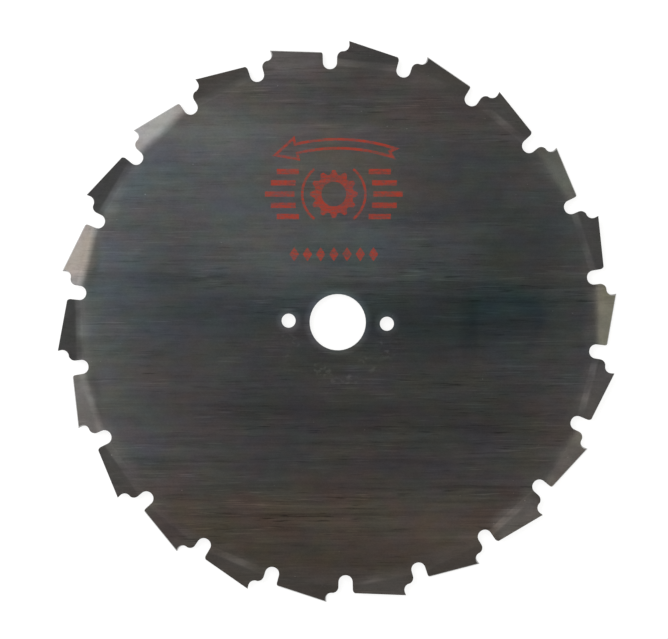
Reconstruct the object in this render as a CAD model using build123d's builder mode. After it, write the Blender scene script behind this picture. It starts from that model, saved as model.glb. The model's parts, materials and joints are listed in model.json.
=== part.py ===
from build123d import *

import math
import os

# Round saw blade for a brush cutter: a flat steel disc with hooked chisel teeth.
# Millimetres and degrees. The origin is on the axis of the bore, halfway through the plate. +Z comes out
# of the face that is seen, and +X runs through the pin holes. Every other tooth is bent towards +Z, and
# the ones between towards -Z, so the blade lies on the tips that are bent down.

# Plate and the holes that the machine holds it by
blade_diameter = 200.0  # over the tooth tips
plate_thickness = 1.5
bore_diameter = 20.0
pin_circle_diameter = 35.0
pin_hole_diameter = 5.0
pin_hole_count = 2

# Outline of the teeth, as cut in the flat plate
tooth_count = 22
first_gullet_angle = 11.7  # from the line through the pin holes
gullet_width = 5.0
gullet_depth = 9.9  # from the tip circle to the floor
gullet_floor_flat = 0.2  # left between the two round corners of the floor
gullet_wall_lean = 3.0  # of the wall that leads up to the shoulder
shoulder_depth = 3.7  # from the tip circle
shoulder_radius = 2.2
heel_radius = 1.5
grinding_stock = 0.05  # left on the back of each tooth for the wheel

# Set: each tooth is bent along a straight line between its two gullets
set_angle = 7.5
set_bend_radius = 26.0  # at the middle of the thickness
bend_above_floor = 0.3  # where it starts, measured from the floor of the gullets

# Grinding of the face and the back, which leaves a chisel point on the side that the tooth is bent to
face_offset = 7.06  # from the middle of the gullet to the point
hook_radius = 2.3
hook_bite = 0.05  # how far the hook is ground below the shoulder
clearance_angle = 15.6  # between the back and the tip circle
bevel_angle = 15.0

# What follows from the sizes above
tip_radius = blade_diameter / 2
pitch_angle = 360 / tooth_count
floor_height = tip_radius - gullet_depth
shoulder_height = tip_radius - shoulder_depth
bend_height = floor_height + bend_above_floor
tip_angle = math.degrees(math.asin(face_offset / tip_radius))  # from the middle of the gullet
back_slope = clearance_angle + tip_angle  # of the back, when its gullet points straight up

# A tooth stands on a chord, so its point lies this far out along the middle of the tooth
point_height = tip_radius * math.cos(math.radians(pitch_angle / 2 - tip_angle))
bend_end = bend_height + set_bend_radius * math.sin(math.radians(set_angle))
bend_rise = set_bend_radius * (1 - math.cos(math.radians(set_angle)))
point_rise = bend_rise + (point_height - bend_end) * math.tan(math.radians(set_angle))
point_level = point_rise + plate_thickness / 2 / math.cos(math.radians(set_angle))

# Rough teeth stand this far over the tip circle, and cutters run as far past the steel
overrun = plate_thickness
rim_reach = (tip_radius + overrun) / math.cos(math.radians(pitch_angle / 2))
cut_reach = 2 * point_level  # up and down


def plan_direction(angle):
    """Unit vector in the plane of the plate."""
    return Vector(math.cos(math.radians(angle)), math.sin(math.radians(angle)))


def gap_outline():
    """Gap between two teeth, with the middle of the gullet on +Y and the tooth that it serves at +X."""
    left_wall = -gullet_width / 2
    corner_radius = (gullet_width - gullet_floor_flat) / 2
    lean = math.tan(math.radians(gullet_wall_lean))
    right_floor = gullet_width / 2 - corner_radius * lean
    right_top = right_floor + (shoulder_height - floor_height) * lean
    rough_face = right_top + shoulder_radius

    # The back of the tooth behind runs down to the heel beside this gullet
    last_point = tip_radius * plan_direction(90 + pitch_angle - tip_angle)
    fall = math.tan(math.radians(back_slope - pitch_angle))

    def back_height(x):
        return last_point.Y - fall * (x - last_point.X) + grinding_stock

    back_start = left_wall - heel_radius - overrun
    with BuildSketch() as outline:
        with BuildLine():
            FilletPolyline(
                (back_start, back_height(back_start)),
                (left_wall, back_height(left_wall)),
                (left_wall, floor_height),
                (right_floor, floor_height),
                (right_top, shoulder_height),
                (rough_face, shoulder_height),
                (rough_face, rim_reach),
                (back_start, rim_reach),
                radius=[0, heel_radius, corner_radius, corner_radius, shoulder_radius, 0, 0, 0],
                close=True,
            )
        make_face()
    return outline.sketch


def bent_tooth(side):
    """Rough tooth bent towards +Z (side 1) or -Z (side -1), with its middle on +Y."""
    chord = 2 * bend_height * math.tan(math.radians(pitch_angle / 2))
    with BuildPart() as tooth:
        with BuildSketch(Plane.YZ):
            with BuildLine():
                bend = JernArc((bend_height, 0), (1, 0), set_bend_radius, side * set_angle)
                PolarLine(
                    bend @ 1,
                    tip_radius + overrun - bend_end,
                    side * set_angle,
                    length_mode=LengthMode.HORIZONTAL,
                )
            trace(line_width=plate_thickness)
        extrude(amount=chord / 2, both=True)
    return tooth.part


def grinding_cutter(side):
    """What the wheel takes off one tooth, with the gullet in front of the tooth on +Y."""
    lean = math.radians(bevel_angle)
    point = plan_direction(90 - tip_angle) * tip_radius + Vector(0, 0, side * point_level)
    back_out = plan_direction(90 - back_slope) * math.cos(lean)
    back_plane = Plane(
        origin=point,
        x_dir=plan_direction(-back_slope),
        z_dir=back_out - Vector(0, 0, side * math.sin(lean)),
    )
    hook_plane = Plane(
        origin=(point.X, 0, point.Z),
        x_dir=(math.cos(lean), 0, side * math.sin(lean)),
        z_dir=(-side * math.sin(lean), 0, math.cos(lean)),
    )
    back_length = tip_radius * math.sin(math.radians(pitch_angle - tip_angle))

    with BuildPart() as cutter:
        with BuildSketch(back_plane):
            with Locations((-overrun, 0)):
                Rectangle(overrun + back_length, 2 * cut_reach, align=(Align.MIN, Align.CENTER))
        extrude(amount=gullet_depth)
        with BuildSketch(hook_plane):
            with Locations((-hook_radius, shoulder_height + hook_radius - hook_bite)):
                Circle(hook_radius)
                Rectangle(2 * hook_radius, gullet_depth, align=(Align.CENTER, Align.MIN))
        extrude(amount=cut_reach, both=True)
    return cutter.part


def turns(first, step, offset=0.0):
    """Places round the blade for the gullets first, first + step and so on, drawn straight up."""
    return [
        Location((0, 0, 0), (0, 0, first_gullet_angle - 90 + index * pitch_angle + offset))
        for index in range(first, tooth_count, step)
    ]


with BuildPart() as blade:
    # Flat middle of the disc, with one side for each tooth to stand on
    with BuildSketch(Plane.XY.offset(-plate_thickness / 2)):
        RegularPolygon(bend_height, tooth_count, major_radius=False, rotation=first_gullet_angle)
    extrude(amount=plate_thickness)

    # Teeth, bent down and up in turn
    for first_gullet, side in ((0, -1), (1, 1)):
        with Locations(*turns(first_gullet, 2, -pitch_angle / 2)):
            add(bent_tooth(side))

    # Gaps between the teeth
    with BuildSketch(Plane.XY):
        with Locations(*turns(0, 1)):
            add(gap_outline())
    extrude(amount=cut_reach, both=True, mode=Mode.SUBTRACT)

    # Ground faces and backs
    for first_gullet, side in ((0, -1), (1, 1)):
        with Locations(*turns(first_gullet, 2)):
            add(grinding_cutter(side), mode=Mode.SUBTRACT)

    # Bore and pin holes
    Hole(bore_diameter / 2)
    with PolarLocations(pin_circle_diameter / 2, pin_hole_count):
        Hole(pin_hole_diameter / 2)

blade.part.label = "blade"

os.makedirs("parts", exist_ok=True)
export_step(blade.part, "parts/blade.step")
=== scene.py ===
import json
import math

import bmesh
import bpy
from mathutils import Matrix, Vector


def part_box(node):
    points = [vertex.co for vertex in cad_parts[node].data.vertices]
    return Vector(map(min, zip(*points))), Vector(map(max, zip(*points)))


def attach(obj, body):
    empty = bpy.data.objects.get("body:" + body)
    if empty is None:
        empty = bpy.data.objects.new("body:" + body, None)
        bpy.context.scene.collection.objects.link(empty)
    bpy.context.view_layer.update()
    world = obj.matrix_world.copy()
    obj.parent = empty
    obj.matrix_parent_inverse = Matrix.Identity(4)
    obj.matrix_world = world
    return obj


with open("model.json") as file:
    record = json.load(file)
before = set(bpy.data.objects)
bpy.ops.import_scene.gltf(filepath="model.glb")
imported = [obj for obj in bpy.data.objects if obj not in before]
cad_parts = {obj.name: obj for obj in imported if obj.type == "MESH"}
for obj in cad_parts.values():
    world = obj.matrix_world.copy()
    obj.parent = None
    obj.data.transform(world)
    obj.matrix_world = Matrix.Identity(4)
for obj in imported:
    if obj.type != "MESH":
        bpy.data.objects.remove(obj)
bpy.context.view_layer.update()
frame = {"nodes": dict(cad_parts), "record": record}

# The blade lies on a pale floor and is seen from straight above. Lengths are in metres, but the pattern
# of the steel and the outlines of the print are given in millimetres. Both are placed by how far right
# and up of the bore they lie in the photograph, where the grain runs level.

# Photograph: its size and the middle of the bore in pixels, and its scale at the plate
photo_width, photo_height = 668, 639
bore_pixel = (337.76, 322.19)
pixels_per_metre = 2807.4
camera_height = 0.70
sensor_width_mm = 36.0
grain_turn = math.radians(1.8)  # of the grain, from the line through the pin holes
back_facing = -0.5  # a face belongs to the back if the Z of its normal is below this
millimetre = 0.001

# Blade, as the frame has it. Each hole is (how far beside the axis, radius).
mounts = {mount["name"]: mount for mount in frame["record"]["mounts"]}
bore, pin_holes = mounts["bore"]["dims"], mounts["pin_holes"]["dims"]
holes = ((0.0, bore["r_mm"]), (pin_holes["pcd_mm"] / 2, pin_holes["hole_r_mm"]))
plate_top = mounts["flange_face"]["pos_m"][2]
floor_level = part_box("blade")[0].z

# A noise below is (length of its spots along the grain, width, detail, seed). A step is a pair of values
# between which a share rises from 0 to 1.

# Tint of the rolled steel across the grain, as (how far up, colour), and how far the bands drift
band_tints = (
    (-88.0, (0.104, 0.086, 0.070)),
    (-72.0, (0.118, 0.098, 0.080)),
    (-50.0, (0.097, 0.091, 0.088)),
    (-22.0, (0.092, 0.091, 0.089)),
    (4.0, (0.078, 0.088, 0.093)),
    (22.0, (0.104, 0.110, 0.111)),
    (60.0, (0.112, 0.114, 0.113)),
    (86.0, (0.122, 0.110, 0.104)),
)
band_noise, band_drift = (90.0, 30.0, 2.0, 3.0), 12.0

# Soft patches in that tint, some of them stains and some painted light and shade, such as the large lighter
# cloud up and left of the bore: (right, up, half length, half height, softness, colour to multiply by)
plate_stains_and_painted_light = (
    (-24.0, 54.0, 52.0, 32.0, 0.7, (1.38, 1.40, 1.40)),
    (-74.0, 44.0, 28.0, 34.0, 0.6, (0.83, 0.87, 0.93)),
    (-43.0, 68.0, 22.0, 9.0, 0.7, (1.14, 1.16, 1.17)),
    (-60.0, 24.0, 9.0, 20.0, 0.7, (0.89, 0.87, 0.85)),
    (4.0, 56.0, 24.0, 20.0, 0.7, (1.12, 1.02, 0.99)),
    (2.0, 78.0, 24.0, 9.0, 0.7, (0.87, 0.89, 0.89)),
    (42.0, 50.0, 22.0, 14.0, 0.7, (0.88, 0.89, 0.88)),
    (6.0, 21.0, 46.0, 12.0, 0.7, (1.16, 1.19, 1.17)),
    (30.0, 28.0, 16.0, 12.0, 0.6, (0.98, 1.05, 1.12)),
    (65.0, 24.0, 14.0, 9.0, 0.5, (0.80, 0.82, 0.79)),
    (44.0, 2.0, 42.0, 12.0, 0.7, (0.70, 0.77, 0.77)),
    (59.5, -0.5, 15.5, 15.0, 0.14, (0.82, 0.90, 0.93)),
    (46.5, -2.0, 3.5, 12.0, 0.4, (0.84, 0.86, 0.87)),
    (59.0, 8.0, 13.0, 6.0, 0.35, (0.93, 1.06, 1.05)),
    (-88.6, 23.6, 3.2, 9.0, 0.5, (0.74, 0.71, 0.64)),
    (-87.4, -28.0, 3.2, 9.0, 0.5, (0.76, 0.76, 0.75)),
    (57.0, -12.0, 13.0, 4.0, 0.7, (1.20, 1.20, 1.19)),
    (85.0, 5.0, 10.0, 15.0, 0.5, (1.22, 1.15, 1.14)),
    (-36.0, -10.0, 20.0, 10.0, 0.7, (1.14, 1.09, 1.09)),
    (56.0, -33.0, 34.0, 7.0, 0.7, (0.88, 0.88, 0.86)),
    (-70.0, -46.0, 20.0, 12.0, 0.7, (1.12, 1.18, 1.26)),
    (42.0, -74.0, 50.0, 15.0, 0.7, (1.20, 1.17, 1.15)),
    (2.0, -33.0, 32.0, 7.0, 0.7, (0.89, 0.88, 0.88)),
    (-86.0, -22.0, 18.0, 26.0, 0.7, (1.12, 1.11, 1.09)),
    (86.0, -52.0, 18.0, 34.0, 0.6, (1.26, 1.24, 1.22)),
    (-12.0, 97.0, 16.0, 9.0, 0.7, (1.35, 1.30, 1.28)),
)
patch_edge, patch_edge_drift = (26.0, 10.0, 3.0), 0.4  # noise without its seed, and share of the half size

# Tint of the teeth, its share over that of the plate there and at the rim, and patches in it, which are
# painted highlights and painted shade on single teeth, standing in for how much light each bent tooth
# reflects
tooth_tint = (0.112, 0.106, 0.099)
tooth_share, rim_share = 0.6, 0.4
tooth_lean = (0.03, 0.12)  # step of the sine of the lean at which a tooth begins
tooth_painted_light_patches = (
    (97.0, 2.4, 7.0, 11.0, 0.3, (0.98, 0.97, 0.79)),
    (79.0, 54.3, 8.0, 8.0, 0.3, (1.12, 1.26, 1.18)),
    (-65.3, 71.7, 8.0, 8.0, 0.3, (1.11, 1.20, 1.30)),
    (-93.7, 25.1, 8.0, 10.0, 0.3, (1.36, 1.19, 1.12)),
    (-92.4, -29.6, 8.0, 10.0, 0.3, (0.90, 0.94, 0.99)),
    (-79.0, -54.3, 9.0, 9.0, 0.3, (1.24, 1.24, 1.26)),
    (-15.8, 93.7, 9.0, 7.0, 0.3, (1.42, 1.40, 1.54)),
    (11.2, 94.3, 9.0, 7.0, 0.3, (0.80, 0.86, 0.95)),
    (-60.4, -73.3, 8.0, 8.0, 0.3, (0.76, 0.71, 0.79)),
    (16.6, -94.6, 9.0, 7.0, 0.3, (1.18, 1.20, 1.22)),
    (65.3, -71.7, 9.0, 9.0, 0.3, (2.04, 2.08, 2.12)),
    (82.9, -50.4, 8.0, 8.0, 0.3, (0.67, 0.65, 0.69)),
    (93.7, -25.1, 8.0, 10.0, 0.3, (1.56, 1.50, 1.54)),
)

# Hues that the tint of the plate wanders between: (noise, first hue, second hue)
warm_hue, cool_hue = (1.043, 1.000, 0.965), (0.965, 1.000, 1.035)
green_hue, violet_hue = (0.973, 1.036, 0.973), (1.027, 0.964, 1.027)
hue_layers = (
    ((34.0, 22.0, 2.0, 7.0), warm_hue, cool_hue),
    ((9.0, 6.0, 2.0, 8.0), warm_hue, cool_hue),
    ((12.0, 9.0, 2.0, 9.0), green_hue, violet_hue),
)
hue_step = (0.35, 0.65)

# Streaks along the grain, and mottling: (noise, amount)
grain_layers = (
    ((8.0, 0.45, 2.0, 11.0), 0.12),
    ((26.0, 1.0, 2.0, 13.0), 0.32),
    ((110.0, 3.2, 2.0, 17.0), 0.42),
)
mottle_layers = (
    ((0.7, 0.5, 1.0, 71.0), 0.28),
    ((5.0, 3.4, 2.0, 73.0), 0.30),
    ((24.0, 15.0, 2.0, 19.0), 0.36),
)

# Short light and dark lines along the grain: (noise, step, noise of their clusters, amount)
dash_layers = (
    ((11.0, 0.50, 1.0, 23.0), (0.58, 0.74), (36.0, 5.0, 2.0, 24.0), 0.27),
    ((9.0, 0.55, 1.0, 27.0), (0.42, 0.27), (36.0, 5.0, 2.0, 28.0), -0.24),
)
cluster_step = (0.38, 0.62)

# How strong streaks and lines are: across the grain, as (how far up, share), in patches, and on the teeth
grain_shares = (
    (-85.0, 1.00),
    (-55.0, 0.98),
    (-38.0, 0.70),
    (-8.0, 0.68),
    (11.0, 1.00),
    (28.0, 0.54),
    (45.0, 0.47),
    (60.0, 0.54),
    (78.0, 0.85),
)
strength_noise, strength_step = (42.0, 16.0, 2.0, 77.0), (0.32, 0.64)
least_strength, most_strength = 0.81, 2.13
tooth_strength = 0.6

# Steel that the set has stretched. It starts to be lighter at these distances from the axis, and ends
# where the sine of the lean is this large. The teeth that are bent up also get painted light on their flat
# part.
strain_radii = (87.0, 91.5)
strain_edge, strain_edge_drift = (20.0, 16.0, 2.0, 35.0), 4.5
strain_start, strain_end = (0.002, 0.030), (0.092, 0.128)
strain_light, up_strain_light, up_tooth_painted_light = 0.16, 0.36, 0.08
strain_noise, strain_step = (15.0, 10.0, 2.0, 31.0), (0.34, 0.66)
least_strain, most_strain = 0.4, 1.6

# Worn rims of the holes, and a few tiny bright specks
rim_width, rim_light = 2.8, 0.75
speck_noise, speck_step = (1.0, 0.9, 0.0, 67.0), (0.86, 0.90)

# Scuffs of the flange, in groups on the part of a ring that lies below the bore
scuff_radii = (14.5, 17.5, 19.5, 24.5)
scuff_top = (-3.0, -6.0)
scuff_groups, scuff_group_step = (7.0, 6.0, 1.0, 63.0), (0.45, 0.60)
scuff_spots, scuff_spot_step = (1.7, 1.2, 2.0, 61.0), (0.47, 0.66)
scuff_light = 0.5

# Punched walls, ground ones and rolled faces differ in how squarely they face up or down
punched_tint, ground_tint = (0.075, 0.072, 0.070), (0.21, 0.205, 0.20)
ground_facing, rolled_facing = (0.08, 0.16), (0.55, 0.75)

# Gloss of the steel, which fine scratches along the grain change
steel_roughness, roughness_drift = 0.30, 0.04
steel_anisotropy = 0.6
scratch_noise, scratch_bump, scratch_depth = (12.0, 0.30, 3.0, 51.0), 0.25, 0.01 * millimetre

# Print: thickness, how far it reaches into the plate, its strokes, and the middle of its emblem
ink_height = 0.012 * millimetre
ink_bite = 0.004 * millimetre
stroke_width = 0.95
emblem_middle = Vector((-1.4, 45.6))

# Ink, the share of the steel that it hides, and its wear
ink_tint, thin_ink_tint = (0.34, 0.030, 0.011), (0.25, 0.024, 0.012)
ink_shade_noise = (6.0, 1.6, 2.0, 47.0)
ink_roughness, ink_specular = 0.6, 0.2
least_ink, most_ink = 0.30, 0.95
wear_layers = (
    ((3.5, 0.6, 2.0, 41.0), 0.9),
    ((12.0, 5.0, 2.0, 43.0), 0.7),
    ((1.0, 0.7, 1.0, 45.0), 0.8),
)
wear_step = (0.70, 1.32)

# Floor. Where it is seen it has a darker tint and a glow, which show as white apart from the shadow.
floor_size = 6.0
floor_tint, seen_floor_tint = (0.80, 0.80, 0.80), (0.24, 0.24, 0.24)
seen_floor_glow = 0.83

# Soft light: a white room, a dimmer ceiling that the flat steel mirrors, and softboxes under the ceiling.
# Each softbox is (name, lowest corner, highest corner, radiance, tint).
white = (1.0, 1.0, 1.0)
room_light, ceiling_light = 1.0, 0.4
ceiling_height, ceiling_size = 0.75, 2.25
softbox_height = 0.70
softboxes = (
    ("left_softbox", (-1.28, -0.06), (-0.22, 0.70), 3.7, (1.0, 0.98, 0.95)),
    ("right_softbox", (0.32, -0.25), (0.92, 0.25), 2.0, (1.0, 0.97, 0.84)),
)


def shader_node(tree, kind, inputs=None, **settings):
    """Adds a shader node. An input is a value, or the socket that is linked to it."""
    made = tree.nodes.new("ShaderNode" + kind)
    for name, value in settings.items():
        setattr(made, name, value)
    for name, value in (inputs or {}).items():
        socket = made.inputs[name]
        if isinstance(value, bpy.types.NodeSocket):
            tree.links.new(value, socket)
        else:
            socket.default_value = (*value, 1.0) if socket.type == "RGBA" else value
    return made


def math_node(tree, operation, *values):
    """Adds one step of arithmetic and returns its result."""
    return shader_node(tree, "Math", dict(enumerate(values)), operation=operation).outputs[0]


def product(tree, total, *factors):
    """Product of numbers and results."""
    for factor in factors:
        total = math_node(tree, "MULTIPLY", total, factor)
    return total


def between(tree, share, least, most):
    """Number that goes from least to most with a share."""
    return math_node(tree, "MULTIPLY_ADD", share, most - least, least)


def mix_node(tree, share, first, second, blend_type="MIX"):
    """Mixes two colours and returns the result."""
    inputs = {0: share, 6: first, 7: second}
    return shader_node(tree, "Mix", inputs, data_type="RGBA", blend_type=blend_type).outputs[2]


def multiplied(tree, tint, factor):
    """Tint times another colour."""
    return mix_node(tree, 1.0, tint, factor, "MULTIPLY")


def lit(tree, tint, light):
    """Tint times a number, or a vector times another."""
    return shader_node(tree, "VectorMath", {0: tint, 1: light}, operation="MULTIPLY").outputs[0]


def step_node(tree, value, low, high):
    """Rises smoothly from 0 at low to 1 at high, and falls where low is the larger."""
    inputs = {"Value": value, "From Min": low, "From Max": high}
    made = shader_node(tree, "MapRange", inputs, interpolation_type="SMOOTHSTEP")
    return made.outputs["Result"]


def ramp_node(tree, value, stops):
    """Colour along value, through stops of (value, colour)."""
    low, high = stops[0][0], stops[-1][0]
    share = shader_node(tree, "MapRange", {"Value": value, "From Min": low, "From Max": high})
    made = shader_node(tree, "ValToRGB", {"Fac": share.outputs["Result"]})
    elements = made.color_ramp.elements
    while len(elements) < len(stops):
        elements.new(1.0)
    for element, (place, colour) in zip(elements, stops):
        element.position = (place - low) / (high - low)
        element.color = (*colour, 1.0)
    return made.outputs["Color"]


def grain_place(tree):
    """Place on the plate, with x along the grain. It is turned half round on the back."""
    coordinates = shader_node(tree, "TexCoord").outputs
    facing = shader_node(tree, "SeparateXYZ", {"Vector": coordinates["Normal"]}).outputs["Z"]
    on_back = math_node(tree, "LESS_THAN", facing, back_facing)
    turn = between(tree, on_back, -grain_turn, math.pi - grain_turn)
    inputs = {
        "Vector": coordinates["Object"],
        "Rotation": shader_node(tree, "CombineXYZ", {"Z": turn}).outputs["Vector"],
        "Scale": (1 / millimetre,) * 3,
    }
    return shader_node(tree, "Mapping", inputs).outputs["Vector"]


def height_up(tree, place):
    """How far up of the bore a place on the plate lies."""
    return shader_node(tree, "SeparateXYZ", {"Vector": place}).outputs["Y"]


def distance_out(tree, aside=0.0):
    """Distance from the axis, or from the nearer of two points that lie this far to its right and left."""
    place = shader_node(tree, "TexCoord").outputs["Object"]
    folded = shader_node(tree, "VectorMath", {0: place}, operation="ABSOLUTE").outputs[0]
    flat = lit(tree, folded, (1 / millimetre, 1 / millimetre, 0.0))
    inputs = {0: flat, 1: (aside, 0.0, 0.0)}
    return shader_node(tree, "VectorMath", inputs, operation="DISTANCE").outputs["Value"]


def noise_node(tree, place, length, width, detail, seed):
    """Noise from 0 to 1 whose spots are about this long and wide."""
    inputs = {
        "Vector": place,
        "Location": (seed, seed, seed),
        "Scale": (1 / length, 1 / width, 1.0),
    }
    stretched = shader_node(tree, "Mapping", inputs).outputs["Vector"]
    inputs = {"Vector": stretched, "Scale": 1.0, "Detail": detail}
    return shader_node(tree, "TexNoise", inputs).outputs["Fac"]


def spots(tree, place, noise, step):
    """Spots of a noise, with soft edges."""
    return step_node(tree, noise_node(tree, place, *noise), *step)


def drifting(tree, value, place, noise, drift):
    """Value that a noise moves up and down by as much as its drift."""
    lowest = math_node(tree, "SUBTRACT", value, drift)
    return math_node(tree, "MULTIPLY_ADD", noise_node(tree, place, *noise), 2 * drift, lowest)


def layered_noise(tree, place, layers):
    """Sum of noises, with 1 as its middle. Each layer is (noise, amount)."""
    total = 1 - sum(amount for noise, amount in layers) / 2
    for noise, amount in layers:
        total = math_node(tree, "MULTIPLY_ADD", noise_node(tree, place, *noise), amount, total)
    return total


def patch_share(tree, place, right, up, half_length, half_height, softness):
    """1 inside a soft patch and 0 outside it, with an uneven edge that has the patch's place as its seed."""
    inputs = {
        "Vector": place,
        "Location": (-right / half_length, -up / half_height, 0.0),
        "Scale": (1 / half_length, 1 / half_height, 0.0),
    }
    from_middle = shader_node(tree, "Mapping", inputs).outputs["Vector"]
    reach = shader_node(tree, "VectorMath", {0: from_middle}, operation="LENGTH").outputs["Value"]
    reach = drifting(tree, reach, place, (*patch_edge, right), patch_edge_drift)
    return step_node(tree, reach, 1.0 + softness, 1.0 - softness)


def patched(tree, tint, place, patches):
    """Tint with soft patches in it."""
    for *patch, factor in patches:
        tint = mix_node(tree, patch_share(tree, place, *patch), tint, multiplied(tree, tint, factor))
    return tint


def rolled_tint(tree, place):
    """Tint of the plate, in bands along the grain and in patches of stain and of painted light and shade,
    with wandering hues.
    """
    up = drifting(tree, height_up(tree, place), place, band_noise, band_drift)
    # The patches add stains, and painted light and shade
    tint = patched(tree, ramp_node(tree, up, band_tints), place, plate_stains_and_painted_light)
    for noise, first, second in hue_layers:
        hue = mix_node(tree, spots(tree, place, noise, hue_step), first, second)
        tint = multiplied(tree, tint, hue)
    return tint


def grain_light(tree, place, on_tooth):
    """How light the steel is: streaks and lines along the grain, of uneven strength, and mottling."""
    light = layered_noise(tree, place, grain_layers)
    for noise, step, clusters, amount in dash_layers:
        line = product(tree, spots(tree, place, noise, step), spots(tree, place, clusters, cluster_step))
        light = math_node(tree, "MULTIPLY_ADD", line, amount, light)
    strength = spots(tree, place, strength_noise, strength_step)
    strength = between(tree, strength, least_strength, most_strength)
    stops = [(up, (share, share, share)) for up, share in grain_shares]
    share = ramp_node(tree, height_up(tree, place), stops)
    on_plate = between(tree, on_tooth, 1.0, tooth_strength)
    light = product(tree, math_node(tree, "SUBTRACT", light, 1.0), strength, share, on_plate)
    return math_node(tree, "ADD", light, layered_noise(tree, place, mottle_layers))


def set_tilt(tree, normal, facing):
    """Sine of the angle that a face leans outwards from the plate: over 0 on the teeth that are bent down."""
    place = shader_node(tree, "TexCoord").outputs["Object"]
    flat = lit(tree, place, (1.0, 1.0, 0.0))
    outward = shader_node(tree, "VectorMath", {0: flat}, operation="NORMALIZE").outputs[0]
    lean = shader_node(tree, "VectorMath", {0: outward, 1: normal}, operation="DOT_PRODUCT").outputs["Value"]
    return math_node(tree, "MULTIPLY", lean, math_node(tree, "SIGN", facing))


def near_rim(tree, place):
    """1 at the rim of the plate, falling to 0 at an uneven distance from the axis."""
    distance = drifting(tree, distance_out(tree), place, strain_edge, strain_edge_drift)
    return step_node(tree, distance, *strain_radii)


def strain_and_painted_tooth_light(tree, place, near, tilt):
    """How light the steel is round the bend of each tooth, unevenly, with painted light on the flat of the
    teeth that are bent up.
    """
    uneven = between(tree, spots(tree, place, strain_noise, strain_step), least_strain, most_strain)
    before_flat = step_node(tree, math_node(tree, "ABSOLUTE", tilt), *reversed(strain_end))
    up_lean = math_node(tree, "MULTIPLY", tilt, -1.0)
    up_bend = step_node(tree, up_lean, *strain_start)
    up_flat = step_node(tree, up_lean, *strain_end)
    light = math_node(tree, "MULTIPLY_ADD", up_bend, up_strain_light, strain_light)
    light = product(tree, light, uneven, near, before_flat)
    # Painted light on the flat of each tooth that is bent up
    light = math_node(tree, "MULTIPLY_ADD", up_flat, up_tooth_painted_light, light)
    return math_node(tree, "ADD", light, 1.0)


def hole_rims(tree):
    """1 at the edges of the holes, falling to 0 a little further out."""
    total = 0.0
    for aside, radius in holes:
        rim = step_node(tree, distance_out(tree, aside), radius + rim_width, radius)
        total = math_node(tree, "MAXIMUM", rim, total)
    return total


def scuffs(tree, place):
    """Small light marks below the bore, on the ring where the flange presses."""
    distance = distance_out(tree)
    first, inside, outside, last = scuff_radii
    return product(
        tree,
        step_node(tree, distance, first, inside),
        step_node(tree, distance, last, outside),
        step_node(tree, height_up(tree, place), *scuff_top),
        spots(tree, place, scuff_groups, scuff_group_step),
        spots(tree, place, scuff_spots, scuff_spot_step),
    )


def marks(tree, place):
    """How light the steel is at its worn rims, scuffs and specks."""
    light = math_node(tree, "MULTIPLY_ADD", hole_rims(tree), rim_light, 1.0)
    light = math_node(tree, "MULTIPLY_ADD", scuffs(tree, place), scuff_light, light)
    return math_node(tree, "ADD", spots(tree, place, speck_noise, speck_step), light)


def face_tint(tree, place, tilt):
    """Tint of the rolled faces, on the plate and on the teeth, with painted light and shade in it."""
    near = near_rim(tree, place)
    on_tooth = step_node(tree, math_node(tree, "ABSOLUTE", tilt), *tooth_lean)
    share = math_node(tree, "MULTIPLY", near, rim_share)
    share = math_node(tree, "MULTIPLY_ADD", on_tooth, tooth_share - rim_share, share)
    # Painted highlights and painted shade on single teeth
    tooth = patched(tree, tooth_tint, place, tooth_painted_light_patches)
    tint = mix_node(tree, share, rolled_tint(tree, place), tooth)
    tint = lit(tree, tint, grain_light(tree, place, on_tooth))
    tint = lit(tree, tint, strain_and_painted_tooth_light(tree, place, near, tilt))
    return lit(tree, tint, marks(tree, place))


def steel_tint(tree, place):
    """Tint of the blade: its faces, and the walls that were punched and ground."""
    normal = shader_node(tree, "TexCoord").outputs["Normal"]
    facing = shader_node(tree, "SeparateXYZ", {"Vector": normal}).outputs["Z"]
    tilt = set_tilt(tree, normal, facing)
    squarely = math_node(tree, "ABSOLUTE", facing)
    wall = mix_node(tree, step_node(tree, squarely, *ground_facing), punched_tint, ground_tint)
    return mix_node(tree, step_node(tree, squarely, *rolled_facing), wall, face_tint(tree, place, tilt))


def steel_shader(tree):
    """Adds the steel of the blade and returns its shader."""
    place = grain_place(tree)
    scratches = noise_node(tree, place, *scratch_noise)
    bump = {"Height": scratches, "Strength": scratch_bump, "Distance": scratch_depth}
    across_grain = {"X": -math.sin(grain_turn), "Y": math.cos(grain_turn)}
    least, most = steel_roughness - roughness_drift, steel_roughness + roughness_drift
    inputs = {
        "Base Color": steel_tint(tree, place),
        "Metallic": 1.0,
        "Roughness": between(tree, scratches, least, most),
        "Anisotropic": steel_anisotropy,
        "Tangent": shader_node(tree, "CombineXYZ", across_grain).outputs["Vector"],
        "Normal": shader_node(tree, "Bump", bump).outputs["Normal"],
    }
    return shader_node(tree, "BsdfPrincipled", inputs).outputs["BSDF"]


def new_material(name):
    """Material with an empty node tree, and that tree."""
    made = bpy.data.materials.new(name)
    made.use_nodes = True
    made.node_tree.nodes.clear()
    return made, made.node_tree


def steel_material():
    """Rolled steel with a fine straight grain, punched and ground at its edges."""
    made, tree = new_material("blade_steel")
    shader_node(tree, "OutputMaterial", {"Surface": steel_shader(tree)})
    return made


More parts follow.
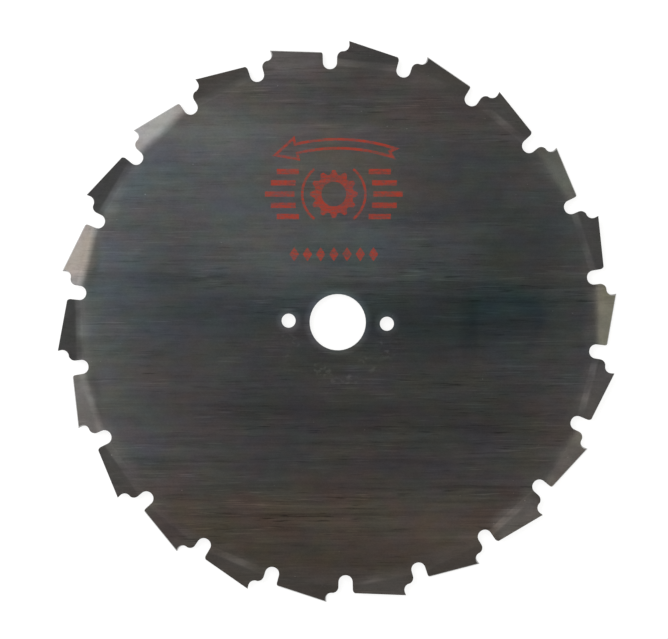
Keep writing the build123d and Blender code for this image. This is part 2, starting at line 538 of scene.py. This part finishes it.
def ink_material():
    """Thin red ink, worn through to the steel along the grain."""
    made, tree = new_material("marking_ink")
    place = grain_place(tree)
    worn = step_node(tree, layered_noise(tree, place, wear_layers), *wear_step)
    cover = between(tree, worn, least_ink, most_ink)
    shade = noise_node(tree, place, *ink_shade_noise)
    inputs = {
        "Base Color": mix_node(tree, shade, thin_ink_tint, ink_tint),
        "Roughness": ink_roughness,
        "Specular IOR Level": ink_specular,
    }
    ink = shader_node(tree, "BsdfPrincipled", inputs).outputs["BSDF"]
    surface = shader_node(tree, "MixShader", {0: cover, 1: steel_shader(tree), 2: ink})
    shader_node(tree, "OutputMaterial", {"Surface": surface.outputs["Shader"]})
    return made


def floor_material():
    """Pale floor that shows white, apart from the blade's shadow, and is clear from below."""
    made, tree = new_material("floor")
    pale = shader_node(tree, "BsdfDiffuse", {"Color": floor_tint}).outputs["BSDF"]
    soft = shader_node(tree, "BsdfDiffuse", {"Color": seen_floor_tint}).outputs["BSDF"]
    glow = shader_node(tree, "Emission", {"Strength": seen_floor_glow}).outputs["Emission"]
    bright = shader_node(tree, "AddShader", {0: soft, 1: glow}).outputs["Shader"]
    path = shader_node(tree, "LightPath").outputs
    seen = math_node(tree, "MAXIMUM", path["Is Camera Ray"], path["Is Glossy Ray"])
    seen = math_node(tree, "MAXIMUM", seen, path["Is Transmission Ray"])
    top = shader_node(tree, "MixShader", {0: seen, 1: pale, 2: bright}).outputs["Shader"]
    clear = shader_node(tree, "BsdfTransparent").outputs["BSDF"]
    below = shader_node(tree, "NewGeometry").outputs["Backfacing"]
    surface = shader_node(tree, "MixShader", {0: below, 1: top, 2: clear}).outputs["Shader"]
    shader_node(tree, "OutputMaterial", {"Surface": surface})
    return made


def ceiling_material():
    """Plain ceiling that gives an even, dim light."""
    made, tree = new_material("ceiling")
    glow = shader_node(tree, "Emission", {"Strength": ceiling_light}).outputs["Emission"]
    shader_node(tree, "OutputMaterial", {"Surface": glow})
    return made


def add_object(name, data):
    """Links a new object into the scene."""
    made = bpy.data.objects.new(name, data)
    bpy.context.scene.collection.objects.link(made)
    return made


def polar(radius, angle):
    """Point at this angle to the left of straight up, in degrees."""
    turn = math.radians(angle)
    return Vector((-radius * math.sin(turn), radius * math.cos(turn)))


def arc(radius, first_angle, last_angle, steps):
    """Points along an arc round the bore."""
    return [polar(radius, first_angle + (last_angle - first_angle) * i / steps) for i in range(steps + 1)]


def stroke(line):
    """Two rails of one stroke that runs round a closed line, mitred at its corners."""
    rails = ([], [])
    for before, corner, after in zip(line[-1:] + line, line, line[1:] + line[:1]):
        arriving, leaving = (corner - before).normalized(), (after - corner).normalized()
        mitre = (arriving + leaving).orthogonal() / (1 + arriving.dot(leaving))
        for rail, side in zip(rails, (-0.5, 0.5)):
            rail.append(corner + side * stroke_width * mitre)
    return [rail + rail[:1] for rail in rails]


def bar(left, low, width, height):
    """Two rails of a filled level bar."""
    return [[Vector((x, y)) for x in (left, left + width)] for y in (low, low + height)]


def rotation_arrow():
    """Outline of an arrow round the bore that points the way the blade turns, with a notched tail."""
    middle, half_width, barb = 63.5, 1.6, 2.2
    point, neck, tail, notch = 20.5, 13.5, -18.5, 1.6  # degrees round the bore
    steps = 16
    outside, inside = middle + half_width, middle - half_width
    line = [polar(middle, point), polar(outside + barb, neck)]
    line += arc(outside, neck, tail, steps) + [polar(middle, tail + notch)]
    line += arc(inside, tail, neck, steps) + [polar(inside - barb, neck)]
    return [stroke(line)]


def toothed_ring():
    """Small picture of a toothed wheel."""
    teeth, root, tooth, inside = 12, 7.0, 1.5, 4.4
    corners = 4 * teeth  # two on the tip of each tooth, and two at its root
    outer, inner = [], []
    for step in range(corners + 1):
        direction = polar(1.0, 360 * (step - 0.5) / corners)
        reach = root + (tooth if step % 4 < 2 else 0.0)
        outer.append(emblem_middle + reach * direction)
        inner.append(emblem_middle + inside * direction)
    return [(outer, inner)]


def brackets():
    """Pair of thin arcs that close the ring in from both sides."""
    radii, half_angle, steps = (10.8, 11.7), 52.0, 14
    strips = []
    for side in (90.0, 270.0):  # left and right
        rails = [arc(radius, side - half_angle, side + half_angle, steps) for radius in radii]
        strips.append([[emblem_middle + point for point in rail] for rail in rails])
    return strips


def wings():
    """Level stripes on both sides of the ring, longest in the middle, like two spread wings."""
    rows_each_way, pitch, height = 2, 4.0, 1.9
    near_end, near_curve = 14.0, 0.4
    far_end, far_step = 24.5, 2.1
    strips = []
    for row in range(-rows_each_way, rows_each_way + 1):
        near = near_end - near_curve * row * row
        far = far_end - far_step * abs(row)
        low = emblem_middle.y + pitch * row - height / 2
        strips.append(bar(emblem_middle.x + near, low, far - near, height))
        strips.append(bar(emblem_middle.x - far, low, far - near, height))
    return strips


def diamonds():
    """Row of small diamonds under the emblem."""
    each_way, pitch, row_height = 3, 4.7, 24.2
    half_width, half_height = Vector((1.7, 0.0)), Vector((0.0, 2.5))
    strips = []
    for step in range(-each_way, each_way + 1):
        middle = Vector((emblem_middle.x + pitch * step, row_height))
        left, right = middle - half_width, middle + half_width
        low, high = middle - half_height, middle + half_height
        strips.append(((left, low), (high, right)))
    return strips


def printed(name, strips, ink):
    """Print of this shape on the top of the plate, as a thin closed solid. A strip is a pair of rails."""
    shape = bmesh.new()
    middle = plate_top + (ink_height - ink_bite) / 2
    for rails in strips:
        pairs = [[shape.verts.new((*(point * millimetre), middle)) for point in pair] for pair in zip(*rails)]
        for (first, second), (next_first, next_second) in zip(pairs, pairs[1:]):
            shape.faces.new((first, second, next_second, next_first))
    bmesh.ops.remove_doubles(shape, verts=shape.verts, dist=ink_bite)
    bmesh.ops.rotate(shape, verts=shape.verts, matrix=Matrix.Rotation(grain_turn, 3, "Z"))
    mesh = bpy.data.meshes.new(name)
    shape.to_mesh(mesh)
    shape.free()
    mesh.materials.append(ink)
    made = add_object(name, mesh)
    solid = made.modifiers.new("thickness", "SOLIDIFY")
    solid.thickness = ink_height + ink_bite
    solid.offset = 0.0
    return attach(made, "root")


def add_print():
    """Generic red print on the upper half of the plate."""
    ink = ink_material()
    for shape in (rotation_arrow, toothed_ring, brackets, wings, diamonds):
        printed("print_" + shape.__name__, shape(), ink)


def add_steel():
    """Gives the blade its steel."""
    steel = steel_material()
    for holder in frame["nodes"]["blade"].material_slots:
        holder.material = steel


def add_level(name, size, height, material):
    """Level square round the axis, which isn't part of the blade."""
    corners = [(x * size / 2, y * size / 2, height) for x, y in ((-1, -1), (1, -1), (1, 1), (-1, 1))]
    mesh = bpy.data.meshes.new(name)
    mesh.from_pydata(corners, [], [(0, 1, 2, 3)])
    mesh.materials.append(material)
    made = add_object(name, mesh)
    return made


def add_floor():
    """Floor under the tips of the teeth that are bent down."""
    add_level("floor", floor_size, floor_level, floor_material())


def add_ceiling():
    """Ceiling that the camera looks past."""
    add_level("ceiling", ceiling_size, ceiling_height, ceiling_material()).visible_camera = False


def add_world():
    """Plain white all round."""
    world = bpy.data.worlds.new("studio")
    bpy.context.scene.world = world
    world.use_nodes = True
    tree = world.node_tree
    tree.nodes.clear()
    background = shader_node(tree, "Background", {"Color": white, "Strength": room_light})
    shader_node(tree, "OutputWorld", {"Surface": background.outputs["Background"]})


def add_softbox(name, low, high, radiance, tint):
    """Level softbox between two corners, which shines down and isn't seen itself."""
    size = (high[0] - low[0], high[1] - low[1])
    data = bpy.data.lights.new(name, "AREA")
    data.shape = "RECTANGLE"
    data.size, data.size_y = size
    data.energy = radiance * math.pi * size[0] * size[1]
    data.color = tint
    made = add_object(name, data)
    made.location = ((low[0] + high[0]) / 2, (low[1] + high[1]) / 2, softbox_height)
    made.visible_camera = False


def add_camera():
    """Camera straight above, turned and moved to the photograph's framing."""
    data = bpy.data.cameras.new("camera")
    data.sensor_width = sensor_width_mm
    data.lens = sensor_width_mm * camera_height * pixels_per_metre / photo_width
    aside = Vector((photo_width / 2 - bore_pixel[0], bore_pixel[1] - photo_height / 2)) / pixels_per_metre
    made = add_object("camera", data)
    made.matrix_world = Matrix.Rotation(grain_turn, 4, "Z") @ Matrix.Translation((*aside, camera_height))
    bpy.context.scene.camera = made


bpy.context.scene.view_settings.view_transform = "Standard"
add_camera()
add_world()
for softbox in softboxes:
    add_softbox(*softbox)
add_floor()
add_ceiling()
add_print()
add_steel()
